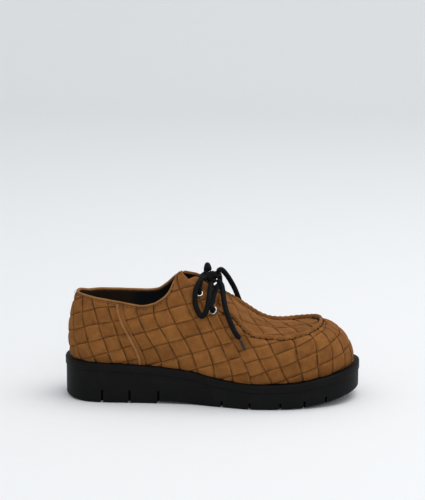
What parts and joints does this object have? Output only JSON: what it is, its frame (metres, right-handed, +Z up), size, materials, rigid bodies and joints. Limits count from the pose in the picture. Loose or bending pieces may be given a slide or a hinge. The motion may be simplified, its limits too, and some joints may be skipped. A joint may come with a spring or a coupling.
{
  "type": "lace-up shoe",
  "caption": "Right lace-up shoe with a woven suede upper, raised toe seam, bow-tied black lace and thick black lugged sole, empty and standing on its sole.",
  "frame": {"origin": "on the floor, under the middle of the sole", "axes": "+X towards the toe, +Y towards the inner (medial) side, +Z up"},
  "size_m": [0.2952, 0.1113, 0.1333],
  "materials": {
    "rubber": "matte black moulded rubber",
    "suede": "soft nap, woven in flat strips",
    "lining": "smooth dark leather",
    "cord": "round braided cord",
    "tip": "thin dark film, glossy",
    "eyelet": "polished"
  },
  "bodies": {
    "root": {"collar_binding": "suede", "eyelet_lower_lateral": "eyelet", "eyelet_lower_medial": "eyelet", "eyelet_upper_lateral": "eyelet", "eyelet_upper_medial": "eyelet", "heel_piping_lateral": "suede", "heel_piping_medial": "suede", "insole": "lining", "lace_bar_lower": "cord", "lace_bar_upper": "cord", "lace_end_lateral": "cord", "lace_end_medial": "cord", "lace_knot": "cord", "lace_loop_lateral": "cord", "lace_loop_medial": "cord", "lace_tip_lateral": "tip", "lace_tip_medial": "tip", "midsole": "rubber", "outsole": "rubber", "tongue": "suede", "upper": "suede"}
  },
  "joints": []
}
